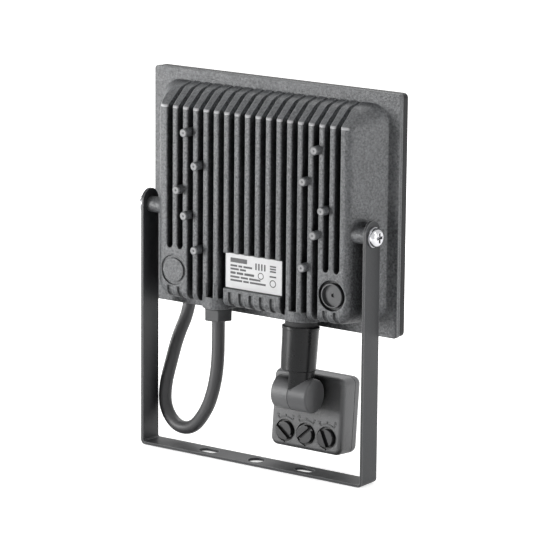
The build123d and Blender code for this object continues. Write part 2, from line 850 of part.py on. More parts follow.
# Rating plate and vent plug
with BuildPart() as rating_plate:
    with BuildSketch(facing_rear(pad_y)):
        with Locations((0, pad_stop_z - pad_height / 2)):
            RectangleRounded(pad_width - 2 * plate_margin, pad_height - 2 * plate_margin, 0.6)
    extrude(amount=plate_thickness)
rating_plate.part.label = "rating_plate"

vent_face = Plane(
    origin=(-corner_disc_x, fin_tip_y - vent_recess, drop(corner_disc_drop)),
    x_dir=(-1, 0, 0),
    z_dir=(0, 1, 0),
)
with BuildPart() as vent_plug:
    with BuildSketch(vent_face):
        Circle(vent_cup_dia / 2)
    extrude(amount=vent_recess + vent_cup_proud)
    fillet(vent_plug.faces().sort_by(Axis.Y)[-1].edges(), vent_cup_wall / 3)
    with BuildSketch(vent_face.offset(vent_recess + vent_cup_proud)):
        Circle(vent_cup_dia / 2 - vent_cup_wall)
    extrude(amount=-vent_cup_depth, mode=Mode.SUBTRACT)
    with BuildSketch(vent_face):
        Circle(vent_stem_dia / 2)
    extrude(amount=-vent_stem_length)
    with BuildSketch(vent_face.offset(vent_recess + vent_cup_proud)):
        Circle(vent_hole_dia / 2)
    extrude(amount=-vent_cup_depth - vent_cup_wall, mode=Mode.SUBTRACT)
vent_plug.part.label = "vent_plug"

# Cable gland
gland = Plane(origin=(boss_x, boss_y, boss_bottom_z - cable_washer_thickness))
seal_bore_dia = cable_seal_dia + 2 * pin_gap
with BuildPart() as cable_washer:
    with BuildSketch(gland):
        Circle(cable_washer_dia / 2)
        Circle(cable_thread_dia / 2 + pin_gap, mode=Mode.SUBTRACT)
    extrude(amount=cable_washer_thickness)
cable_washer.part.label = "cable_washer"

with BuildPart() as cable_nut:
    with BuildSketch(gland.offset(-cable_nut_height)):
        RegularPolygon(cable_nut_flats / 2, 6, major_radius=False, rotation=5)
    extrude(amount=cable_nut_height)
    fillet(cable_nut.edges().filter_by(Axis.Z), cable_nut_round)
    fillet(cable_nut.faces().sort_by(Axis.Z)[0].edges(), cable_nut_round)
    with BuildSketch(gland):
        Circle(cable_thread_dia / 2)
    extrude(amount=cable_washer_thickness + cable_thread_length)
    with BuildSketch(gland.offset(-cable_nut_height)):
        Circle(cable_nut_bore / 2)
    extrude(amount=cable_nut_floor, mode=Mode.SUBTRACT)
    with BuildSketch(gland.offset(cable_nut_floor - cable_nut_height)):
        Circle(seal_bore_dia / 2)
    extrude(amount=cable_nut_height + cable_thread_length, mode=Mode.SUBTRACT)
cable_nut.part.label = "cable_nut"

with BuildPart() as cable_seal:
    with BuildSketch(gland.offset(cable_nut_floor - cable_nut_height)):
        Circle(cable_seal_dia / 2)
        Circle(cable_dia / 2 + pin_gap, mode=Mode.SUBTRACT)
    extrude(amount=cable_nut_height)
cable_seal.part.label = "cable_seal"


def bend_radii(points, share):
    """The arc radius at each inner point, from the shorter run beside it and the half turn."""
    radii = []
    for before, here, after in zip(points, points[1:], points[2:]):
        back = Vector(*before) - Vector(*here)
        onward = Vector(*after) - Vector(*here)
        half_turn = radians(180 - back.get_angle(onward)) / 2
        radii.append(share * min(back.length, onward.length) / tan(half_turn))
    return radii


def swept_round(points, radii, dia):
    """A round tube along straight runs joined by tangent arcs."""
    with BuildPart() as tube:
        with BuildLine() as path:
            FilletPolyline(*points, radius=radii)
        with BuildSketch(Plane(origin=path.line @ 0, z_dir=path.line % 0)):
            Circle(dia / 2)
        sweep()
    return tube.part, sum(edge.length for edge in path.edges())


# Cable and its three bare conductors
cable_radii = bend_radii(cable_route, cable_sharp_share)
cable_body, cable_length = swept_round(cable_route, cable_radii, cable_dia)
print("cable radii", [round(radius, 1) for radius in cable_radii])
print("cable length", round(cable_length, 1))
print("cable volume over section times length", cable_body.volume / cable_length / cable_dia**2)
with BuildPart() as power_cable:
    add(cable_body)
power_cable.part.label = "power_cable"

cable_end = Vector(*cable_route[-1])
cable_way = (cable_end - Vector(*cable_route[-2])).normalized()
conductor_parts = {}
for name, angle in (("conductor_brown", 90), ("conductor_blue", 210), ("conductor_earth", 330)):
    end_plane = Plane(origin=cable_end, x_dir=(1, 0, 0), z_dir=cable_way)
    outward = end_plane.x_dir * cos(radians(angle)) + end_plane.y_dir * sin(radians(angle))
    start = cable_end + outward * conductor_spread
    bend = start + cable_way * (conductor_length / 2)
    lean = outward * (conductor_length / 2 * sin(radians(conductor_splay)))
    tip = bend + cable_way * (conductor_length / 2) + lean
    radii = bend_radii([tuple(start), tuple(bend), tuple(tip)], cable_sharp_share)
    insulation, _ = swept_round([start, bend, tip], radii, conductor_dia)
    with BuildPart() as conductor:
        add(insulation)
        with BuildSketch(Plane(origin=tip, z_dir=tip - bend)):
            Circle(copper_dia / 2)
        extrude(amount=copper_length)
    conductor.part.label = name
    conductor_parts[name] = conductor.part

# Sensor neck: lip, slightly tapered tube, half of the knuckle
neck_top = neck_length - neck_ring_thickness - face_gap
with BuildPart() as sensor_neck:
    with BuildSketch(knuckle.offset(neck_end_rise)):
        Circle(neck_end_dia / 2)
    with BuildSketch(knuckle.offset(neck_top - neck_lip_height)):
        Circle(neck_top_dia / 2)
    loft()
    fillet(sensor_neck.faces().sort_by(Axis.Z)[0].edges(), neck_edge_round)
    with BuildSketch(knuckle.offset(neck_top - neck_lip_height)):
        Circle(neck_lip_dia / 2)
    extrude(amount=neck_lip_height)
    fillet(sensor_neck.faces().sort_by(Axis.Z)[-1].edges(), neck_edge_round)
    # Half column down to the lug, and the lug across it
    with BuildSketch(knuckle):
        Circle(knuckle_dia / 2 - seam_step)
        with Locations((knuckle_dia / 2 - face_gap, 0)):
            Rectangle(knuckle_dia, 2 * knuckle_dia, mode=Mode.SUBTRACT)
    extrude(amount=neck_end_rise + neck_wall)
    with BuildSketch(knuckle_side.offset(-face_gap - lug_width)):
        Circle(knuckle_dia / 2)
    extrude(amount=lug_width)
    lug_end = sensor_neck.faces().sort_by(Axis.X)[0]
    fillet(lug_end.edges(), knuckle_edge_round)
    # Hollow for the wires
    with BuildSketch(knuckle.offset(neck_end_rise + neck_wall)):
        Circle(neck_end_dia / 2 - neck_wall)
    extrude(amount=neck_top - neck_end_rise - 2 * neck_wall, mode=Mode.SUBTRACT)
    with BuildSketch(knuckle.offset(neck_top)):
        Circle(neck_spigot_dia / 2)
    extrude(amount=spigot_length)
    with BuildSketch(knuckle.offset(neck_top + spigot_length)):
        Circle(neck_bore_dia / 2)
    extrude(amount=-spigot_length - 2 * neck_wall, mode=Mode.SUBTRACT)
    # Thread of the pivot screw
    with BuildSketch(knuckle_side.offset(-face_gap)):
        Circle(pivot_screw_dia / 2 + thread_gap)
    extrude(amount=pivot_tip_x + face_gap - side_gap, mode=Mode.SUBTRACT)
sensor_neck.part.label = "sensor_neck"

with BuildPart() as neck_ring:
    with BuildSketch(knuckle.offset(neck_top)):
        Circle(neck_ring_dia / 2)
        Circle(neck_spigot_dia / 2 + pin_gap, mode=Mode.SUBTRACT)
    extrude(amount=neck_ring_thickness)
neck_ring.part.label = "neck_ring"

with BuildPart() as neck_nut:
    with BuildSketch(neck_base.offset(boss_wall + face_gap)):
        Circle(neck_nut_dia / 2)
        Circle(neck_spigot_dia / 2 + thread_gap, mode=Mode.SUBTRACT)
    extrude(amount=neck_nut_height)
neck_nut.part.label = "neck_nut"

pivot_body = pan_head_screw(
    pivot_head_dia, pivot_head_height, pivot_screw_dia, pivot_screw_length
)
with BuildPart() as pivot_screw:
    with Locations(knuckle_side.offset(pivot_seat_x)):
        add(pivot_body)
pivot_screw.part.label = "pivot_screw"

# Sensor head
head_height = head_rise + head_drop
head_mid = (0, head_rise - head_height / 2)
head_rear = head_plane(head_setback)
seam = head_plane(head_setback + rear_shell_depth)
head_front = head_plane(head_setback + rear_shell_depth + front_shell_depth)
inner_width = head_width - 2 * head_wall
inner_height = head_height - 2 * head_wall
post_depth = rear_shell_depth - post_top_gap
board_rear = head_rear.offset(post_depth)
lens_mid = (0, -lens_drop)
post_places = [
    (side * (head_width / 2 - post_inset), head_mid[1] + up * (head_height / 2 - post_inset))
    for side in (-1, 1)
    for up in (-1, 1)
]
knob_places = [(side * knob_pitch, -knob_drop) for side in (-1, 0, 1)]

with BuildPart() as head_rear_shell:
    with BuildSketch(head_rear):
        with Locations(head_mid):
            RectangleRounded(head_width, head_height, head_corner)
    extrude(amount=rear_shell_depth)
    fillet(head_rear_shell.faces().sort_by(Axis.Y)[-1].edges(), rear_edge_round)
    with BuildSketch(seam):
        with Locations(head_mid):
            RectangleRounded(inner_width, inner_height, head_corner - head_wall)
    extrude(amount=head_wall - rear_shell_depth, mode=Mode.SUBTRACT)
    # Thicker floor under the knobs, and posts of the board
    with BuildSketch(head_rear.offset(head_wall)):
        with Locations((0, -knob_drop)):
            Rectangle(inner_width, knob_pad_height)
    extrude(amount=knob_pad_depth)
    with BuildSketch(head_rear.offset(head_wall)):
        with Locations(*post_places):
            Circle(post_dia / 2)
    extrude(amount=post_depth - head_wall)
    with BuildSketch(board_rear):
        with Locations(*post_places):
            Circle(head_screw_dia / 2 + thread_gap)
    extrude(amount=sensor_board_thickness - head_screw_length - side_gap, mode=Mode.SUBTRACT)
    # Ear of the knuckle
    with BuildSketch(knuckle_side.offset(face_gap)):
        Circle(knuckle_dia / 2)
        with Locations((-head_setback / 2, 0)):
            Rectangle(head_setback, knuckle_dia)
    extrude(amount=ear_width)
    with BuildSketch(knuckle_side.offset(face_gap)):
        Circle(pivot_screw_dia / 2 + pin_gap)
    extrude(amount=ear_width, mode=Mode.SUBTRACT)
    with BuildSketch(knuckle_side.offset(face_gap + ear_width)):
        Circle(pivot_head_dia / 2 + side_gap)
    extrude(amount=-pivot_recess, mode=Mode.SUBTRACT)
    # Wells of the knobs, each with a small mark at its lower edge
    with BuildSketch(head_rear):
        with Locations(*knob_places):
            Circle(knob_well_dia / 2)
            with Locations((0, -knob_well_dia / 2)):
                Rectangle(knob_mark_width, 2 * knob_mark_width)
    extrude(amount=knob_well_depth, mode=Mode.SUBTRACT)
    with BuildSketch(head_rear):
        with Locations(*knob_places):
            Circle(knob_stem_dia / 2 + pin_gap)
    extrude(amount=head_wall + knob_pad_depth, mode=Mode.SUBTRACT)
head_rear_shell.part.label = "head_rear_shell"

with BuildPart() as head_front_shell:
    with BuildSketch(seam):
        with Locations(head_mid):
            RectangleRounded(head_width, head_height, head_corner)
    extrude(amount=front_shell_depth)
    fillet(head_front_shell.faces().sort_by(Axis.Y)[0].edges(), front_edge_round)
    with BuildSketch(seam):
        with Locations(head_mid):
            RectangleRounded(head_width + 2, head_height + 2, head_corner + 1)
            RectangleRounded(
                head_width - 2 * seam_step,
                head_height - 2 * seam_step,
                head_corner - seam_step,
                mode=Mode.SUBTRACT,
            )
    extrude(amount=seam_depth, mode=Mode.SUBTRACT)
    with BuildSketch(seam):
        with Locations(head_mid):
            RectangleRounded(inner_width, inner_height, head_corner - head_wall)
    extrude(amount=front_shell_depth - head_wall, mode=Mode.SUBTRACT)
    with BuildSketch(seam):
        with Locations(lens_mid):
            Circle(lens_dia / 2 + face_gap)
    extrude(amount=front_shell_depth, mode=Mode.SUBTRACT)
head_front_shell.part.label = "head_front_shell"

# Domed window: a cap with a flange behind the front wall
lens_radius = ((lens_dia / 2) ** 2 + lens_height**2) / (2 * lens_height)
lens_origin = head_front.offset(-head_wall).from_local_coords((*lens_mid, 0))
lens_axis_plane = Plane(origin=lens_origin, x_dir=head_front.x_dir, z_dir=-head_front.y_dir)
rim_rise = head_wall - lens_wall
with BuildPart() as sensor_lens:
    with BuildSketch(lens_axis_plane):
        with BuildLine():
            Polyline(
                (0, rim_rise + lens_height - lens_wall + lens_wall),
                (0, rim_rise + lens_height - lens_wall),
            )
            RadiusArc(
                (0, rim_rise + lens_height - lens_wall),
                (lens_dia / 2 - lens_wall, rim_rise - lens_wall),
                lens_radius - lens_wall,
            )
            Polyline(
                (lens_dia / 2 - lens_wall, rim_rise - lens_wall),
                (lens_dia / 2 - lens_wall, -lens_wall),
                (lens_dia / 2 + lens_flange, -lens_wall),
                (lens_dia / 2 + lens_flange, 0),
                (lens_dia / 2, 0),
                (lens_dia / 2, rim_rise),
            )
            RadiusArc((lens_dia / 2, rim_rise), (0, rim_rise + lens_height), -lens_radius)
        make_face()
    revolve(axis=Axis(lens_origin, head_front.z_dir))
sensor_lens.part.label = "sensor_lens"

with BuildPart() as sensor_board:
    with BuildSketch(board_rear):
        with Locations(head_mid):
            RectangleRounded(
                inner_width - 2 * sensor_board_inset, inner_height - 2 * sensor_board_inset, 2
            )
        with Locations(*post_places):
            Circle(head_screw_dia / 2 + pin_gap, mode=Mode.SUBTRACT)
    extrude(amount=sensor_board_thickness)
sensor_board.part.label = "sensor_board"

head_screw = pan_head_screw(
    head_screw_head_dia, head_screw_head_height, head_screw_dia, head_screw_length
)
board_front = board_rear.offset(sensor_board_thickness)
with BuildPart() as head_screws:
    for x, z in post_places:
        with Locations(Plane(board_front.from_local_coords((x, z, 0)), board_front.x_dir, board_front.z_dir)):
            add(head_screw)
head_screws.part.label = "head_screws"

with BuildPart() as pyro_sensor:
    with BuildSketch(board_front):
        with Locations(lens_mid):
            Circle(pyro_dia / 2)
    extrude(amount=pyro_height)
pyro_sensor.part.label = "pyro_sensor"

dial_depth = post_depth - head_wall - knob_pad_depth - face_gap
with BuildPart() as dial_controls:
    with BuildSketch(board_rear):
        with Locations(*knob_places):
            Rectangle(dial_width, dial_width)
            Circle(knob_stem_dia / 2 + pin_gap, mode=Mode.SUBTRACT)
    extrude(amount=-dial_depth)
dial_controls.part.label = "dial_controls"


def adjusting_knob(place, angle):
    """A round knob with a slot across its face, turned by angle, and a stem into its control."""
    slot_x = head_rear.x_dir * cos(radians(angle)) + head_rear.y_dir * sin(radians(angle))
    face = Plane(
        origin=head_rear.from_local_coords((*place, -knob_proud)),
        x_dir=slot_x,
        z_dir=-head_rear.z_dir,
    )
    knob_height = knob_proud + knob_well_depth - face_gap
    with BuildPart() as knob:
        with BuildSketch(face):
            Circle(knob_dia / 2)
        extrude(amount=-knob_height)
        fillet(knob.faces().sort_by(Axis.Y)[-1].edges(), knob_edge_round)
        with BuildSketch(face):
            Rectangle(2 * knob_dia, knob_slot_width)
        extrude(amount=-knob_slot_depth, mode=Mode.SUBTRACT)
        with BuildSketch(face.offset(-knob_height)):
            Circle(knob_stem_dia / 2)
        extrude(amount=-knob_stem_length)
    return knob.part


knobs = []
for number, (place, angle) in enumerate(zip(knob_places, knob_angles), start=1):
    knob = adjusting_knob(place, angle)
    knob.label = f"knob_{number}"
    knobs.append(knob)

nodes = [
    bracket_crossbar,
    bracket_leg_left,
    bracket_leg_right,
    bracket_screws.part,
    bracket_washers.part,
    housing.part,
    front_frame.part,
    front_glass.part,
    glass_gasket.part,
    reflector.part,
    led_board.part,
    led_chips.part,
    driver_parts.part,
    board_screws.part,
    terminal_block.part,
    rating_plate.part,
    vent_plug.part,
    cable_nut.part,
    cable_washer.part,
    cable_seal.part,
    power_cable.part,
    *conductor_parts.values(),
    sensor_neck.part,
    neck_ring.part,
    neck_nut.part,
    pivot_screw.part,
    head_rear_shell.part,
    head_front_shell.part,
    sensor_lens.part,
    sensor_board.part,
    pyro_sensor.part,
    dial_controls.part,
    head_screws.part,
    *knobs,
]
for node in nodes:
    export_step(node, f"parts/{node.label}.step")
    print(node.label, round(node.volume))
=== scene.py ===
import bmesh
import bpy
import json
import math
from mathutils import Matrix, Vector


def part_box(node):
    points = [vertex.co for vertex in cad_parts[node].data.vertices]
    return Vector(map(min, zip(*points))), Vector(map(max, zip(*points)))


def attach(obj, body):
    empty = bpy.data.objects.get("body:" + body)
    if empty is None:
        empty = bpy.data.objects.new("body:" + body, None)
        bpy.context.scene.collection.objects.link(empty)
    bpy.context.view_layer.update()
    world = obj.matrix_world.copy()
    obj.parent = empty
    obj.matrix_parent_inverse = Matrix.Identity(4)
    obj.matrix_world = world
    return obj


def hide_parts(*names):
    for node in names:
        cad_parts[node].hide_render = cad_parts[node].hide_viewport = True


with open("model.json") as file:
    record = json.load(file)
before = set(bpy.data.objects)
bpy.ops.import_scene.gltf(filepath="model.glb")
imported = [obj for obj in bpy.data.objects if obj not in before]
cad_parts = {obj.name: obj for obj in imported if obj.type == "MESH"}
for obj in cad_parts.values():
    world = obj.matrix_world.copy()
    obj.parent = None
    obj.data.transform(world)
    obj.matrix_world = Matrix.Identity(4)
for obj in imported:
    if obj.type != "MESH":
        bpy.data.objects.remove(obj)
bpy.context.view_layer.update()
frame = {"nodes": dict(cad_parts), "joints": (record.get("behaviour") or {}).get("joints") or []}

mm = 0.001


def point(x, y, z):
    return Vector((x * mm, y * mm, z * mm))


# Camera: behind the lamp, a little above it
cameraView = {
    "aim": (-1.42, -16.4, 117.2),  # mm, the middle of the picture
    "aside": 35.134,  # degrees from straight behind
    "above": 12.614,
    "roll": 0.522,
    "distance": 2044.6,
    "lens": 215.98,
    "sensor": 36,
    "nearest": 0.05,  # metres
    "farthest": 50,
}


def placeCamera(view):
    aside = math.radians(view["aside"])
    above = math.radians(view["above"])
    roll = math.radians(view["roll"])
    back = Vector((
        -math.sin(aside) * math.cos(above),
        math.cos(aside) * math.cos(above),
        math.sin(above),
    ))
    level = (-back).cross(Vector((0, 0, 1))).normalized()
    upright = level.cross(-back)
    right = level * math.cos(roll) + upright * math.sin(roll)
    up = upright * math.cos(roll) - level * math.sin(roll)
    camera = bpy.data.objects.new("photoCamera", bpy.data.cameras.new("photoCamera"))
    bpy.context.collection.objects.link(camera)
    turned = Matrix((right, up, back)).transposed().to_4x4()
    place = point(*view["aim"]) + back * view["distance"] * mm
    camera.matrix_world = Matrix.Translation(place) @ turned
    camera.data.lens = view["lens"]
    camera.data.sensor_width = view["sensor"]
    camera.data.clip_start = view["nearest"]
    camera.data.clip_end = view["farthest"]
    bpy.context.scene.camera = camera


placeCamera(cameraView)
print("camera placed")


# Finishes: lengths in metres where no other unit is named
noiseReach = (0.3, 0.7)  # most values of a noise lie between these
noiseDetail = {"mottle": 4, "speckle": 3, "grain": 2}
openSamples = 4
edgeSamples = 6

# Scale of the mottle, its change of shade and of gloss, and the strength of the grain
surfaceWork = {
    "coat": {"mottle": 60, "shade": 0.14, "gloss": 0.05, "relief": 0.9},
    "plastic": {"mottle": 90, "shade": 0.06, "gloss": 0.04, "relief": 0.8},
    "metal": {"mottle": 150, "shade": 0.05, "gloss": 0.05, "relief": 0.6},
    "core": {"mottle": 200, "shade": 0.05, "gloss": 0.04},
}


def newFinish(name, color, roughness, metallic=0.0, specular=0.5):
    finish = bpy.data.materials.new(name)
    finish.use_nodes = True
    shader = finish.node_tree.nodes["Principled BSDF"]
    shader.inputs["Base Color"].default_value = (*color, 1)
    shader.inputs["Roughness"].default_value = roughness
    shader.inputs["Metallic"].default_value = metallic
    shader.inputs["Specular IOR Level"].default_value = specular
    finish.diffuse_color = (*color, 1)
    return finish


def objectCoords(finish):
    nodes = finish.node_tree.nodes
    found = [node for node in nodes if node.type == "TEX_COORD"]
    return (found[0] if found else nodes.new("ShaderNodeTexCoord")).outputs["Object"]


def noiseField(finish, scale, detail):
    nodes, links = finish.node_tree.nodes, finish.node_tree.links
    noise = nodes.new("ShaderNodeTexNoise")
    noise.inputs["Scale"].default_value = scale
    noise.inputs["Detail"].default_value = detail
    links.new(objectCoords(finish), noise.inputs["Vector"])
    return noise.outputs["Fac"]


def openField(finish, reach, inside=False):
    # how open the place lies, looking outwards or into the solid
    field = finish.node_tree.nodes.new("ShaderNodeAmbientOcclusion")
    field.inside = inside
    field.samples = openSamples
    field.inputs["Distance"].default_value = reach
    return field.outputs["AO"]


def rangeMap(finish, value, low, high, atLow=0.0, atHigh=1.0):
    nodes, links = finish.node_tree.nodes, finish.node_tree.links
    level = nodes.new("ShaderNodeMapRange")
    level.inputs["From Min"].default_value = low
    level.inputs["From Max"].default_value = high
    level.inputs["To Min"].default_value = atLow
    level.inputs["To Max"].default_value = atHigh
    links.new(value, level.inputs["Value"])
    return level.outputs["Result"]


def vectorStep(finish, operation, vector, other=None):
    nodes, links = finish.node_tree.nodes, finish.node_tree.links
    step = nodes.new("ShaderNodeVectorMath")
    step.operation = operation
    links.new(vector, step.inputs[0])
    if other:
        step.inputs[1].default_value = other
    return step.outputs["Value" if operation == "LENGTH" else "Vector"]


def placeMask(finish, axis, low, high):
    # nothing up to the first place along the axis, full from the second on, both in mm
    nodes, links = finish.node_tree.nodes, finish.node_tree.links
    split = nodes.new("ShaderNodeSeparateXYZ")
    links.new(objectCoords(finish), split.inputs[0])
    return rangeMap(finish, split.outputs[axis], low * mm, high * mm)


def joinMasks(owner, masks, operation):
    nodes, links = owner.node_tree.nodes, owner.node_tree.links
    joined = masks[0]
    for mask in masks[1:]:
        step = nodes.new("ShaderNodeMath")
        step.operation = operation
        links.new(joined, step.inputs[0])
        links.new(mask, step.inputs[1])
        joined = step.outputs[0]
    return joined


def blendColor(finish, mask, color):
    # lays a colour over the one so far, where the mask is full
    nodes, links = finish.node_tree.nodes, finish.node_tree.links
    base = nodes["Principled BSDF"].inputs["Base Color"]
    mix = nodes.new("ShaderNodeMix")
    mix.data_type = "RGBA"
    mix.inputs["B"].default_value = (*color, 1)
    links.new(mask, mix.inputs["Factor"])
    links.new(base.links[0].from_socket, mix.inputs["A"])
    links.new(mix.outputs["Result"], base)


def scaleColor(finish, level):
    # multiplies the colour so far
    nodes, links = finish.node_tree.nodes, finish.node_tree.links
    base = nodes["Principled BSDF"].inputs["Base Color"]
    toned = nodes.new("ShaderNodeVectorMath")
    toned.operation = "SCALE"
    links.new(base.links[0].from_socket, toned.inputs[0])
    links.new(level, toned.inputs["Scale"])
    links.new(toned.outputs["Vector"], base)


def mottle(finish, kind, work):
    # slow changes of shade and gloss over the surface
    nodes, links = finish.node_tree.nodes, finish.node_tree.links
    shader = nodes["Principled BSDF"]
    field = noiseField(finish, work["mottle"], noiseDetail["mottle"])
    shade = nodes.new("ShaderNodeValToRGB")
    for index, level in enumerate((1 - work["shade"], 1 + work["shade"])):
        shade.color_ramp.elements[index].position = noiseReach[index]
        toned = [min(1, share * level) for share in kind["color"]]
        shade.color_ramp.elements[index].color = (*toned, 1)
    links.new(field, shade.inputs["Fac"])
    links.new(shade.outputs["Color"], shader.inputs["Base Color"])
    low, high = kind["roughness"] - work["gloss"], kind["roughness"] + work["gloss"]
    links.new(rangeMap(finish, field, *noiseReach, low, high), shader.inputs["Roughness"])


def grain(finish, kind, relief):
    # fine relief, over edges that the light sees as slightly rounded
    nodes, links = finish.node_tree.nodes, finish.node_tree.links
    bump = nodes.new("ShaderNodeBump")
    bump.inputs["Strength"].default_value = relief
    bump.inputs["Distance"].default_value = kind["depth"]
    links.new(noiseField(finish, kind["grain"], noiseDetail["grain"]), bump.inputs["Height"])
    if kind["edge"]:
        soft = nodes.new("ShaderNodeBevel")
        soft.samples = edgeSamples
        soft.inputs["Radius"].default_value = kind["edge"]
        links.new(soft.outputs["Normal"], bump.inputs["Normal"])
    links.new(bump.outputs["Normal"], nodes["Principled BSDF"].inputs["Normal"])


coats = {
    "castingCoat": {
        "color": (0.072, 0.075, 0.079), "roughness": 0.46, "specular": 0.5,
        "grain": 950, "depth": 0.00045, "edge": 0.0012,
        "speckle": 0.34, "highlightReach": 0.0007, "highlightTone": (0.22, 0.225, 0.23),
        # painted shade deep in the grooves, turning to painted light in their upper ends
        "deep": {
            "reach": 0.012, "left": 0.06, "full": 0.12, "ends": 0.6,
            "upperLight": 2.4, "upperLightBlend": 1.0,
        },
    },
    "frameCoat": {
        "color": (0.011, 0.0113, 0.012), "roughness": 0.5, "specular": 0.18,
        "grain": 1300, "depth": 0.00015, "edge": 0.0005,
        "speckle": 0.15, "highlightReach": 0.0005, "highlightTone": (0.12, 0.12, 0.125),
    },
    "bracketCoat": {
        "color": (0.026, 0.027, 0.029), "roughness": 0.46, "specular": 0.35,
        "grain": 1300, "depth": 0.00008, "edge": 0.0003,
        "speckle": 0.1, "highlightReach": 0.0006, "highlightTone": (0.2, 0.2, 0.205),
    },
}
coatWork = {
    "speckleScale": 0.8,  # of the grain's scale
    "edgeFull": 0.5,  # openness seen from inside, where the painted edge highlight is full
    "edgeEnds": 0.95,
    "edgeShare": 0.7,
}
# painted highlight across the knee of each fin
finKnee = {
    "height": 219.6,  # mm, where each fin's crest bends towards the top edge
    "above": 0.4,
    "below": 0.6,
    "blend": 0.5,
    "crest": (5.4, 6.2),  # mm towards the back, where the painted highlight begins and where it is full
    "color": (0.4, 0.4, 0.41),
}


def speckle(finish, scale, share):
    # fine uneven tone of a textured powder coat
    field = noiseField(finish, scale, noiseDetail["speckle"])
    scaleColor(finish, rangeMap(finish, field, *noiseReach, 1 - 2 * share, 1 + 2 * share))


def paintEdgeHighlights(finish, reach, color, work):
    # painted highlight: the colour is lighter along outer edges, where they catch the light
    field = openField(finish, reach, inside=True)
    mask = rangeMap(finish, field, work["edgeEnds"], work["edgeFull"], 0.0, work["edgeShare"])
    blendColor(finish, mask, color)


def paintKneeHighlight(finish, values):
    # painted highlight: a thin bright band across each fin's knee, where the bend catches the
    # light
    lowest = values["height"] - values["below"]
    highest = values["height"] + values["above"]
    masks = [
        placeMask(finish, 2, lowest - values["blend"], lowest),
        placeMask(finish, 2, highest + values["blend"], highest),
        placeMask(finish, 1, *values["crest"]),
    ]
    blendColor(finish, joinMasks(finish, masks, "MULTIPLY"), values["color"])


def deepShade(finish, deep, litAbove=None):
    # painted shade: little of the colour is left deep between forms, where light hardly reaches;
    # above a height, painted light makes these places lighter than the coat
    nodes, links = finish.node_tree.nodes, finish.node_tree.links
    field = openField(finish, deep["reach"])
    level = rangeMap(finish, field, deep["full"], deep["ends"], deep["left"])
    if litAbove:
        litUpper = rangeMap(finish, field, deep["ends"], deep["full"], 1.0, deep["upperLight"])
        low, high = litAbove - deep["upperLightBlend"], litAbove + deep["upperLightBlend"]
        mix = nodes.new("ShaderNodeMix")
        links.new(placeMask(finish, 2, low, high), mix.inputs["Factor"])
        links.new(level, mix.inputs["A"])
        links.new(litUpper, mix.inputs["B"])
        level = mix.outputs["Result"]
    scaleColor(finish, level)


def powderCoat(name):
    coat = coats[name]
    work = surfaceWork["coat"]
    finish = newFinish(name, coat["color"], coat["roughness"], specular=coat["specular"])
    mottle(finish, coat, work)
    speckle(finish, coat["grain"] * coatWork["speckleScale"], coat["speckle"])
    paintEdgeHighlights(finish, coat["highlightReach"], coat["highlightTone"], coatWork)
    if "deep" in coat:
        deepShade(finish, coat["deep"], finKnee["height"])
        paintKneeHighlight(finish, finKnee)
    grain(finish, coat, work["relief"])
    return finish


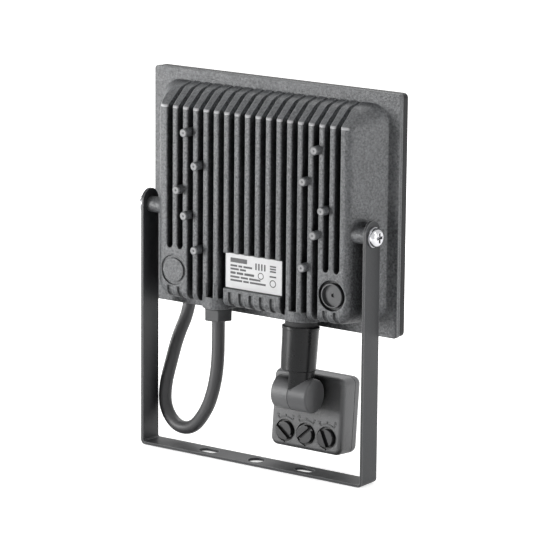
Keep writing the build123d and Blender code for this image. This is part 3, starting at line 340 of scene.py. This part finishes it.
plastics = {
    "neckPlastic": {
        "color": (0.006, 0.0063, 0.007), "roughness": 0.28, "specular": 0.25,
        "grain": 900, "depth": 0.00002, "edge": 0.0004,
    },
    "headPlastic": {
        "color": (0.1, 0.101, 0.104), "roughness": 0.46,
        "grain": 1100, "depth": 0.0002, "edge": 0.0005,
        # painted shadow behind the knuckle and in the head's hollows
        "deep": {"reach": 0.03, "left": 0.05, "full": 0.5, "ends": 0.84},
    },
    "pinPaint": {
        "color": (0.25, 0.25, 0.255), "roughness": 0.5,
        "grain": 1500, "depth": 0.0001, "edge": 0.0003,
    },
    "legendPlastic": {
        "color": (0.02, 0.0205, 0.022), "roughness": 0.35,
        "grain": 1600, "depth": 0.00002, "edge": 0.0,
    },
    "printInk": {
        "color": (0.018, 0.018, 0.02), "roughness": 0.45,
        "grain": 2500, "depth": 0.00001, "edge": 0.0,
    },
    "tracePaint": {
        "color": (0.36, 0.36, 0.34), "roughness": 0.4,
        "grain": 1200, "depth": 0.00001, "edge": 0.0,
    },
    "chipCase": {
        "color": (0.82, 0.82, 0.8), "roughness": 0.3,
        "grain": 1800, "depth": 0.00001, "edge": 0.0002,
    },
    "glandPlastic": {
        "color": (0.03, 0.031, 0.033), "roughness": 0.36,
        "grain": 900, "depth": 0.00004, "edge": 0.0004,
    },
    "ventPlastic": {
        "color": (0.035, 0.036, 0.038), "roughness": 0.42,
        "grain": 1200, "depth": 0.00004, "edge": 0.0002,
    },
    "knobPlastic": {
        "color": (0.018, 0.018, 0.0195), "roughness": 0.33, "specular": 0.35,
        "grain": 800, "depth": 0.00002, "edge": 0.0003,
    },
    "driverPlastic": {
        "color": (0.02, 0.02, 0.02), "roughness": 0.5,
        "grain": 1500, "depth": 0.00004, "edge": 0.0002,
    },
    "terminalPlastic": {
        "color": (0.55, 0.55, 0.5), "roughness": 0.45,
        "grain": 1200, "depth": 0.00003, "edge": 0.0003,
    },
    "dialPlastic": {
        "color": (0.03, 0.08, 0.3), "roughness": 0.4,
        "grain": 1200, "depth": 0.00003, "edge": 0.0002,
    },
    "trayPlastic": {
        "color": (0.78, 0.78, 0.78), "roughness": 0.32,
        "grain": 600, "depth": 0.00003, "edge": 0.0004,
    },
    "blackRubber": {
        "color": (0.014, 0.014, 0.015), "roughness": 0.7,
        "grain": 1800, "depth": 0.00006, "edge": 0.0002,
    },
    "cableRubber": {
        "color": (0.045, 0.045, 0.047), "roughness": 0.5,
        "grain": 1400, "depth": 0.00005, "edge": 0.0,
    },
    "silicone": {
        "color": (0.6, 0.6, 0.6), "roughness": 0.5,
        "grain": 900, "depth": 0.00004, "edge": 0.0,
    },
    "platePaper": {
        "color": (0.58, 0.58, 0.585), "roughness": 0.42,
        "grain": 2500, "depth": 0.00001, "edge": 0.0,
    },
    "boardLacquer": {
        "color": (0.6, 0.6, 0.58), "roughness": 0.35,
        "grain": 700, "depth": 0.00002, "edge": 0.0,
    },
    "circuitLacquer": {
        "color": (0.01, 0.08, 0.035), "roughness": 0.32,
        "grain": 700, "depth": 0.00002, "edge": 0.0,
    },
    "phosphor": {
        "color": (0.85, 0.55, 0.08), "roughness": 0.25,
        "grain": 1500, "depth": 0.00002, "edge": 0.0002,
    },
}


def mouldedPlastic(name):
    kind = plastics[name]
    work = surfaceWork["plastic"]
    finish = newFinish(name, kind["color"], kind["roughness"], specular=kind.get("specular", 0.5))
    mottle(finish, kind, work)
    if "deep" in kind:
        deepShade(finish, kind["deep"])
    grain(finish, kind, work["relief"])
    return finish


metals = {
    "brightSteel": {
        "color": (0.56, 0.56, 0.58), "roughness": 0.14,
        "grain": 300, "depth": 0.00002, "edge": 0.0004,
    },
    "plainSteel": {
        "color": (0.5, 0.5, 0.52), "roughness": 0.32,
        "grain": 900, "depth": 0.00002, "edge": 0.0002,
    },
    "sensorCan": {
        "color": (0.7, 0.68, 0.64), "roughness": 0.25,
        "grain": 700, "depth": 0.00002, "edge": 0.0002,
    },
    "copperStrand": {
        "color": (0.78, 0.36, 0.2), "roughness": 0.28,
        "grain": 1500, "depth": 0.00001, "edge": 0.0,
    },
}
# painted shade in the screws' recesses and other hollows of the metal parts
metalShade = {"reach": 0.003, "left": 0.08, "full": 0.1, "ends": 0.42}


def metalFinish(name):
    metal = metals[name]
    work = surfaceWork["metal"]
    finish = newFinish(name, metal["color"], metal["roughness"], metallic=1.0)
    mottle(finish, metal, work)
    deepShade(finish, metalShade)
    grain(finish, metal, work["relief"])
    return finish


cores = {
    "brownCore": {"color": (0.13, 0.05, 0.02), "roughness": 0.4},
    "blueCore": {"color": (0.03, 0.12, 0.5), "roughness": 0.4},
    "earthCore": {"color": (0.12, 0.38, 0.03), "roughness": 0.4},
}


def coreFinish(name):
    core = cores[name]
    finish = newFinish(name, core["color"], core["roughness"])
    mottle(finish, core, surfaceWork["core"])
    return finish


clearPane = {
    "color": (0.95, 0.98, 0.97), "roughness": 0.03, "refraction": 1.5,
    "grain": 40, "depth": 0.00001, "edge": 0.0, "relief": 0.2,
}


def paneFinish(name, values):
    finish = newFinish(name, values["color"], values["roughness"])
    shader = finish.node_tree.nodes["Principled BSDF"]
    shader.inputs["Transmission Weight"].default_value = 1.0
    shader.inputs["IOR"].default_value = values["refraction"]
    grain(finish, values, values["relief"])
    return finish


# satin finish and painted light on the knuckle round the tilt hinge
knuckleSatinAndLight = {
    "color": (0.1, 0.101, 0.104),
    "roughness": 0.42,
    "radius": 10.8,  # mm from the tilt hinge
    "blend": 0.2,
}


def satinAndLitKnuckle(finish, values):
    # the tube is polished, the round of the knuckle about the tilt hinge is satin, and its colour
    # is lightened there as painted light
    nodes, links = finish.node_tree.nodes, finish.node_tree.links
    hinge = [joint for joint in frame["joints"] if joint["name"] == "sensor_tilt"][0]
    axis = tuple(Vector(hinge["axis"]).normalized())
    fromHinge = vectorStep(finish, "SUBTRACT", objectCoords(finish), hinge["pos_m"])
    away = vectorStep(finish, "LENGTH", vectorStep(finish, "CROSS_PRODUCT", fromHinge, axis))
    outer = values["radius"] + values["blend"]
    onKnuckle = rangeMap(finish, away, outer * mm, values["radius"] * mm)
    blendColor(finish, onKnuckle, values["color"])
    roughness = nodes["Principled BSDF"].inputs["Roughness"]
    gloss = nodes.new("ShaderNodeMix")
    links.new(onKnuckle, gloss.inputs["Factor"])
    links.new(roughness.links[0].from_socket, gloss.inputs["A"])
    gloss.inputs["B"].default_value = values["roughness"]
    links.new(gloss.outputs["Result"], roughness)


milkyLens = {
    "color": (0.84, 0.84, 0.82),
    "roughness": 0.38,
    "scatter": 0.3,
    "scatterReach": 0.004,
    "ribPitch": 0.0056,
    "ribDepth": 0.0003,
    "ribRelief": 0.6,
}
waveLength = 0.314  # one band of the wave texture at scale 1


def lensFinish(name, values):
    # milky window with the faint grid of its lens segments
    finish = newFinish(name, values["color"], values["roughness"])
    nodes, links = finish.node_tree.nodes, finish.node_tree.links
    shader = nodes["Principled BSDF"]
    shader.inputs["Subsurface Weight"].default_value = values["scatter"]
    shader.inputs["Subsurface Radius"].default_value = (values["scatterReach"],) * 3
    ribs = []
    for direction in ("X", "Z"):
        wave = nodes.new("ShaderNodeTexWave")
        wave.bands_direction = direction
        wave.wave_profile = "SAW"
        wave.inputs["Scale"].default_value = waveLength / values["ribPitch"]
        links.new(objectCoords(finish), wave.inputs["Vector"])
        ribs.append(wave.outputs["Fac"])
    bump = nodes.new("ShaderNodeBump")
    bump.inputs["Distance"].default_value = values["ribDepth"]
    bump.inputs["Strength"].default_value = values["ribRelief"]
    links.new(joinMasks(finish, ribs, "MAXIMUM"), bump.inputs["Height"])
    links.new(bump.outputs["Normal"], shader.inputs["Normal"])
    return finish


finishes = {name: powderCoat(name) for name in coats}
finishes.update({name: mouldedPlastic(name) for name in plastics})
finishes.update({name: metalFinish(name) for name in metals})
satinAndLitKnuckle(finishes["neckPlastic"], knuckleSatinAndLight)
finishes["clearPane"] = paneFinish("clearPane", clearPane)
finishes["milkyLens"] = lensFinish("milkyLens", milkyLens)
finishes.update({name: coreFinish(name) for name in cores})
print("finishes made:", len(finishes))

nodeFinish = {
    "bracket_crossbar": "bracketCoat",
    "bracket_leg_left": "bracketCoat",
    "bracket_leg_right": "bracketCoat",
    "bracket_screws": "brightSteel",
    "bracket_washers": "plainSteel",
    "housing": "castingCoat",
    "front_frame": "frameCoat",
    "front_glass": "clearPane",
    "glass_gasket": "silicone",
    "reflector": "trayPlastic",
    "led_board": "boardLacquer",
    "led_chips": "chipCase",
    "driver_parts": "driverPlastic",
    "board_screws": "plainSteel",
    "terminal_block": "terminalPlastic",
    "rating_plate": "platePaper",
    "vent_plug": "ventPlastic",
    "cable_nut": "glandPlastic",
    "cable_washer": "blackRubber",
    "cable_seal": "blackRubber",
    "power_cable": "cableRubber",
    "conductor_brown": "brownCore",
    "conductor_blue": "blueCore",
    "conductor_earth": "earthCore",
    "sensor_neck": "neckPlastic",
    "neck_ring": "blackRubber",
    "neck_nut": "neckPlastic",
    "pivot_screw": "plainSteel",
    "head_rear_shell": "headPlastic",
    "head_front_shell": "headPlastic",
    "sensor_lens": "milkyLens",
    "sensor_board": "circuitLacquer",
    "pyro_sensor": "sensorCan",
    "dial_controls": "dialPlastic",
    "head_screws": "plainSteel",
    "knob_1": "knobPlastic",
    "knob_2": "knobPlastic",
    "knob_3": "knobPlastic",
}
for node, finishName in nodeFinish.items():
    shown = frame["nodes"][node]
    shown.data.materials.clear()
    shown.data.materials.append(finishes[finishName])
print("CAD nodes finished:", len(nodeFinish))


def newPiece(name, mesh, finishName, body):
    piece = bpy.data.objects.new(name, mesh)
    bpy.context.collection.objects.link(piece)
    mesh.materials.append(finishes[finishName])
    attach(piece, body)
    return piece


def buildPiece(name, build, finishName, body, smooth=False):
    bmesh.ops.recalc_face_normals(build, faces=build.faces[:])
    for face in build.faces:
        face.smooth = smooth
    mesh = bpy.data.meshes.new(name)
    build.to_mesh(mesh)
    build.free()
    newPiece(name, mesh, finishName, body)


def flatPiece(name, shapes, finishName, body):
    # a set of small flat or raised shapes, each a list of corners in metres
    build = bmesh.new()
    for shape in shapes:
        build.faces.new([build.verts.new(corner) for corner in shape])
    buildPiece(name, build, finishName, body)


# Cable, along the same route as the solid
cable = {
    "diameter": 8.3,
    "length": 0.249,  # metres
    "stepsBetween": 12,
    "roundness": 10,
    "route": [
        (31.4, -2.2, 98.1),
        (31.4, -2.3, 82.0),
        (31.7, -2.3, 58.0),
        (35.0, -2.6, 41.1),
        (41.2, -3.9, 26.7),
        (53.5, -6.2, 12.0),
        (68.1, -8.2, 10.3),
        (78.2, -9.1, 21.2),
        (78.3, -9.5, 36.0),
        (76.8, -13.4, 50.1),
        (76.3, -19.9, 66.1),
        (74.9, -29.2, 80.6),
        (73.8, -31.0, 98.0),
        (73.2, -30.8, 120.0),
        (73.0, -30.9, 146.0),
    ],
}


def cableLine(name, values):
    line = bpy.data.curves.new(name, "CURVE")
    line.dimensions = "3D"
    spline = line.splines.new("NURBS")
    spline.points.add(len(values["route"]) - 1)
    for place, target in zip(values["route"], spline.points):
        target.co = (*point(*place), 1)
    spline.order_u = 3
    spline.use_endpoint_u = True
    spline.resolution_u = values["stepsBetween"]
    line.bevel_depth = values["diameter"] / 2 * mm
    line.bevel_resolution = values["roundness"]
    line.use_fill_caps = True
    return line


cableShape = cableLine("cableSheath", cable)
cablePiece = newPiece("cableSheath", cableShape, "cableRubber", "lamp")
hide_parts("power_cable")
print("cable laid")


# Print on the rating plate: plain bars, rings and blocks, no words
platePrint = {
    "proud": 0.04,
    "ringSteps": 32,
    "bars": [
        # from the plate's left and top edge, as seen from behind, then width and height
        (3.6, 2.6, 12.6, 2.9),
        (3.6, 6.9, 5.2, 1.25), (9.6, 6.9, 3.0, 1.25), (13.4, 6.9, 6.6, 1.25),
        (3.6, 9.0, 6.4, 1.25), (10.8, 9.0, 4.6, 1.25),
        (3.6, 11.3, 4.0, 1.5), (8.4, 11.3, 5.0, 1.5), (14.2, 11.3, 7.4, 1.5),
        (3.6, 13.9, 7.0, 1.25), (11.4, 13.9, 5.6, 1.25), (17.8, 13.9, 8.6, 1.25),
        (3.6, 16.1, 9.0, 1.25), (13.4, 16.1, 4.2, 1.25), (18.4, 16.1, 12.0, 1.25),
        (22.4, 4.0, 1.1, 4.2), (24.6, 4.0, 1.1, 4.2), (26.8, 4.0, 1.1, 4.2), (29.0, 4.0, 1.1, 4.2),
        (33.4, 4.0, 4.6, 1.0), (33.4, 5.6, 4.6, 1.0), (33.4, 7.2, 4.6, 1.0),
        (33.2, 10.4, 5.0, 1.0),
    ],
    "rings": [
        # middle from the same edges, outer and inner radius
        (26.6, 11.6, 2.2, 1.65),
        (35.7, 15.2, 2.4, 1.8),
    ],
}


def makePlatePrint(values):
    low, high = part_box("rating_plate")
    y = high[1] + values["proud"] * mm

    def place(across, down):
        return (high[0] - across * mm, y, high[2] - down * mm)

    shapes = []
    for across, down, width, height in values["bars"]:
        shapes.append([
            place(across, down),
            place(across + width, down),
            place(across + width, down + height),
            place(across, down + height),
        ])
    steps = values["ringSteps"]
    for across, down, outer, inner in values["rings"]:
        for step in range(steps):
            first, second = [2 * math.pi * (step + part) / steps for part in (0, 1)]
            corners = ((outer, first), (outer, second), (inner, second), (inner, first))
            shapes.append([
                place(across + radius * math.cos(turn), down + radius * math.sin(turn))
                for radius, turn in corners
            ])
    flatPiece("platePrint", shapes, "printInk", "lamp")


makePlatePrint(platePrint)

# Ends of the casting's locating pins: a worn rim round a small dimple
pinEnds = {
    "steps": 28,
    # radius and height of each ring
    "profile": [(2.2, 0.0), (2.05, 0.128), (1.7, 0.16), (1.05, 0.128), (0.75, 0.02)],
    "rearFace": 12.0,
    "top": 239.6,
    # aside from the middle and down from the top
    "places": [(48.8, 34.8), (40.6, 54.8), (54.4, 71.3), (48.6, 86.9), (40.5, 107.9)],
}


def makePinEnds(values):
    build = bmesh.new()
    steps = values["steps"]
    turns = [2 * math.pi * step / steps for step in range(steps)]
    for aside, down in values["places"]:
        for side in (-1, 1):
            rings = []
            for radius, proud in values["profile"]:
                rings.append([
                    build.verts.new(point(
                        side * aside + radius * math.cos(turn),
                        values["rearFace"] + proud,
                        values["top"] - down + radius * math.sin(turn),
                    ))
                    for turn in turns
                ])
            for lower, upper in zip(rings, rings[1:]):
                for step in range(steps):
                    after = (step + 1) % steps
                    build.faces.new((lower[step], lower[after], upper[after], upper[step]))
    buildPiece("pinEnds", build, "pinPaint", "lamp", smooth=True)


makePinEnds(pinEnds)

# Raised marks over the knobs: an arc with end ticks and short bars
knobMarks = {
    "proud": 0.35,
    "arcRadius": 8.7,
    "arcReach": 34,  # degrees each side of upright
    "arcSteps": 14,
    "lineWidth": 0.6,
    "tickLength": 1.6,
    "bars": [
        # for each knob: middle across and up from the knob, width and height
        [(-6.0, 9.6, 1.6, 0.55), (-6.0, 10.6, 1.0, 0.5), (5.8, 9.4, 2.0, 0.55)],
        [(-6.0, 9.6, 1.0, 0.55), (5.6, 9.8, 1.8, 0.55), (5.6, 10.8, 1.1, 0.5)],
        [(-5.6, 9.8, 1.2, 0.55), (5.8, 9.6, 1.6, 0.55)],
    ],
}


def makeKnobMarks(values):
    shapes = []
    tall, radius, half = values["proud"], values["arcRadius"], values["lineWidth"] / 2
    reach, steps = values["arcReach"], values["arcSteps"]
    wide = math.degrees(half / radius)
    end = radius + values["tickLength"]
    angles = [-reach + 2 * reach * step / steps for step in range(steps + 1)]
    for joint in frame["joints"]:
        name = joint["name"]
        if not name.startswith("knob_"):
            continue
        middle = Vector(joint["pos_m"])
        out = Vector(joint["axis"]).normalized()
        across = Vector((1, 0, 0))
        up = out.cross(across)
        if up.z < 0:
            up = -up
        number = int(name.split("_")[1]) - 1

        def place(x, z, height):
            return middle + across * x * mm + up * z * mm + out * height * mm

        def raised(outline):
            shapes.append([place(x, z, tall) for x, z in outline])
            for first, second in zip(outline, outline[1:] + outline[:1]):
                sides = ((first, tall), (second, tall), (second, 0), (first, 0))
                shapes.append([place(*corner, height) for corner, height in sides])

        def arcPart(inner, outer, first, second):
            corners = ((inner, first), (inner, second), (outer, second), (outer, first))
            raised([
                (away * math.sin(math.radians(angle)), away * math.cos(math.radians(angle)))
                for away, angle in corners
            ])

        for first, second in zip(angles, angles[1:]):
            arcPart(radius - half, radius + half, first, second)
        for angle in (-reach, 0, reach):
            arcPart(radius, end, angle - wide, angle + wide)
        for x, z, width, height in values["bars"][number]:
            halfWidth, halfHeight = width / 2, height / 2
            raised([
                (x - halfWidth, z - halfHeight),
                (x + halfWidth, z - halfHeight),
                (x + halfWidth, z + halfHeight),
                (x - halfWidth, z + halfHeight),
            ])
    flatPiece("knobMarks", shapes, "legendPlastic", "head")


makeKnobMarks(knobMarks)
print("print and marks made")

# Copper ends of the conductors: one straight strand in each and the others twisted round it
copperEnds = {
    "strands": 7,
    "strandRadius": 0.3,
    "layRadius": 0.52,
    "turns": 1.2,
    "flare": 0.25,
    "uneven": 0.2,
    "steps": 12,
    "roundness": 3,
    "ends": [
        # foot and tip of each bared length
        ((72.823, -27.984, 170.01), (72.762, -27.279, 176.9)),
        ((70.225, -32.494, 169.974), (69.538, -32.885, 176.85)),
        ((75.429, -32.495, 170.012), (76.002, -32.885, 176.9)),
    ],
}


def makeCopperEnds(values):
    line = bpy.data.curves.new("copperStrands", "CURVE")
    line.dimensions = "3D"
    line.bevel_depth = values["strandRadius"] * mm
    line.bevel_resolution = values["roundness"]
    line.use_fill_caps = True
    strands, steps = values["strands"], values["steps"]
    for foot, tip in values["ends"]:
        start, end = point(*foot), point(*tip)
        along = (end - start).normalized()
        side = along.orthogonal().normalized()
        other = along.cross(side)
        reach = (end - start).length
        for strand in range(strands):
            lay = values["layRadius"] * mm if strand else 0
            spare = values["uneven"] * mm * ((strand * 3) % 4)
            spline = line.splines.new("POLY")
            spline.points.add(steps)
            for step in range(steps + 1):
                part = step / steps
                turn = 2 * math.pi * (strand / (strands - 1) + values["turns"] * part)
                spread = lay * (1 + values["flare"] * part)
                place = start + along * (reach - spare) * part
                place += (side * math.cos(turn) + other * math.sin(turn)) * spread
                spline.points[step].co = (*place, 1)
    newPiece("copperStrands", line, "copperStrand", "lamp")


makeCopperEnds(copperEnds)

# Light sources: a yellow window in each white case, and the board's conducting lines
lightSources = {
    "columns": 8,
    "rows": 5,
    "chipWidth": 2.8,
    "chipHeight": 3.5,
    "windowWidth": 2.1,
    "windowHeight": 2.7,
    "windowRound": 0.7,
    "windowFoot": 0.01,
    "windowProud": 0.12,
    "windowTop": 0.8,  # of the width and height at its foot
    "lineWidth": 1.1,
    "lineProud": 0.04,
}


def makeLightSources(values):
    low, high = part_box("led_chips")
    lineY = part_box("led_board")[0][1] - values["lineProud"] * mm
    foot, top = low[1] - values["windowFoot"] * mm, low[1] - values["windowProud"] * mm
    columns, rows = values["columns"], values["rows"]
    chipWidth, chipHeight = values["chipWidth"] * mm, values["chipHeight"] * mm
    stepX = (high[0] - low[0] - chipWidth) / (columns - 1)
    stepZ = (high[2] - low[2] - chipHeight) / (rows - 1)
    corner = values["windowRound"] * mm
    flatX = values["windowWidth"] / 2 * mm - corner
    flatZ = values["windowHeight"] / 2 * mm - corner
    half = values["lineWidth"] / 2 * mm
    share = values["windowTop"]
    windows, lines = [], []
    for row in range(rows):
        z = low[2] + chipHeight / 2 + row * stepZ
        for column in range(columns):
            x = low[0] + chipWidth / 2 + column * stepX
            outline = []
            for signX, signZ, first in ((1, 1, 0), (-1, 1, 90), (-1, -1, 180), (1, -1, 270)):
                for turn in range(0, 91, 30):
                    angle = math.radians(first + turn)
                    outline.append((
                        x + signX * flatX + corner * math.cos(angle),
                        z + signZ * flatZ + corner * math.sin(angle),
                    ))
            raised = [(x + (px - x) * share, top, z + (pz - z) * share) for px, pz in outline]
            seated = [(px, foot, pz) for px, pz in outline]
            windows.append(raised)
            for index in range(len(outline)):
                after = (index + 1) % len(outline)
                windows.append([seated[index], seated[after], raised[after], raised[index]])
            if column < columns - 1:
                start, end = x + chipWidth / 2, x + stepX - chipWidth / 2
                corners = ((start, -half), (end, -half), (end, half), (start, half))
                lines.append([(px, lineY, z + rise) for px, rise in corners])
    flatPiece("chipWindows", windows, "phosphor", "lamp")
    flatPiece("boardLines", lines, "tracePaint", "lamp")


makeLightSources(lightSources)
print("light sources and copper made")

# Floor, backdrop and light
studio = {
    "floorSize": 6.0,  # metres
    "floorDrop": 0.0004,
    "floorWhite": 0.86,
    "glowNear": 0.62,
    "glowFar": 1.0,
    "glowReach": (0.12, 0.5),  # metres from the middle, from near glow to far glow
    "worldLight": 0.12,
    "lamps": [
        # name, place and aim in metres, width and height in metres, power in watts
        ("keyLamp", (0.68, 0.74, 0.2), (0, 0, 0.13), 0.3, 0.38, 10),
        ("sideLamp", (-1.05, 0.02, 0.3), (0, 0, 0.13), 0.3, 0.4, 5.5),
        ("leftLamp", (1.0, -0.1, 0.35), (0, 0, 0.13), 0.15, 0.5, 3.5),
        ("upperLamp", (-0.75, 0.3, 1.1), (0, 0, 0.2), 0.25, 0.25, 2.5),
        ("topLamp", (0.3, -0.8, 1.25), (0, 0, 0.1), 0.8, 0.8, 11),
    ],
}


def splitRays(owner, lit, seen, outputKind):
    # camera, mirror and glass rays see one shader, and all other rays the lit one
    nodes, links = owner.node_tree.nodes, owner.node_tree.links
    path = nodes.new("ShaderNodeLightPath")
    kinds = [path.outputs[f"Is {kind} Ray"] for kind in ("Glossy", "Transmission", "Camera")]
    mix = nodes.new("ShaderNodeMixShader")
    links.new(joinMasks(owner, kinds, "MAXIMUM"), mix.inputs["Fac"])
    links.new(lit.outputs[0], mix.inputs[1])
    links.new(seen.outputs[0], mix.inputs[2])
    links.new(mix.outputs[0], nodes.new(outputKind).inputs["Surface"])


def makeWorld(values):
    world = bpy.data.worlds.new("studioWorld")
    bpy.context.scene.world = world
    world.use_nodes = True
    nodes = world.node_tree.nodes
    nodes.clear()
    light = nodes.new("ShaderNodeBackground")
    white = nodes.new("ShaderNodeBackground")
    for background in (light, white):
        background.inputs["Color"].default_value = (1, 1, 1, 1)
    light.inputs["Strength"].default_value = values["worldLight"]
    splitRays(world, light, white, "ShaderNodeOutputWorld")


def makeFloor(values):
    half = values["floorSize"] / 2
    corners = [(-half, -half, 0), (half, -half, 0), (half, half, 0), (-half, half, 0)]
    mesh = bpy.data.meshes.new("studioFloor")
    mesh.from_pydata(corners, [], [(0, 1, 2, 3)])
    floor = bpy.data.objects.new("studioFloor", mesh)
    floor.location.z = -values["floorDrop"]
    bpy.context.collection.objects.link(floor)
    paint = bpy.data.materials.new("floorPaint")
    paint.use_nodes = True
    nodes, links = paint.node_tree.nodes, paint.node_tree.links
    nodes.clear()
    matt = nodes.new("ShaderNodeBsdfDiffuse")
    matt.inputs["Color"].default_value = (*[values["floorWhite"]] * 3, 1)
    # the floor whitens away from the lamp, so that its edge never shows
    glow = nodes.new("ShaderNodeEmission")
    away = vectorStep(paint, "LENGTH", objectCoords(paint))
    strength = rangeMap(paint, away, *values["glowReach"], values["glowNear"], values["glowFar"])
    links.new(strength, glow.inputs["Strength"])
    both = nodes.new("ShaderNodeAddShader")
    links.new(matt.outputs[0], both.inputs[0])
    links.new(glow.outputs[0], both.inputs[1])
    splitRays(paint, matt, both, "ShaderNodeOutputMaterial")
    mesh.materials.append(paint)


def makeLamps(values):
    for name, place, aim, width, height, power in values["lamps"]:
        lamp = bpy.data.lights.new(name, "AREA")
        lamp.shape = "RECTANGLE"
        lamp.size = width
        lamp.size_y = height
        lamp.energy = power
        holder = bpy.data.objects.new(name, lamp)
        bpy.context.collection.objects.link(holder)
        holder.location = place
        towards = Vector(aim) - Vector(place)
        holder.rotation_euler = towards.to_track_quat("-Z", "Y").to_euler()


makeWorld(studio)
makeFloor(studio)
makeLamps(studio)
bpy.context.scene.view_settings.view_transform = "Standard"
print("studio lit")
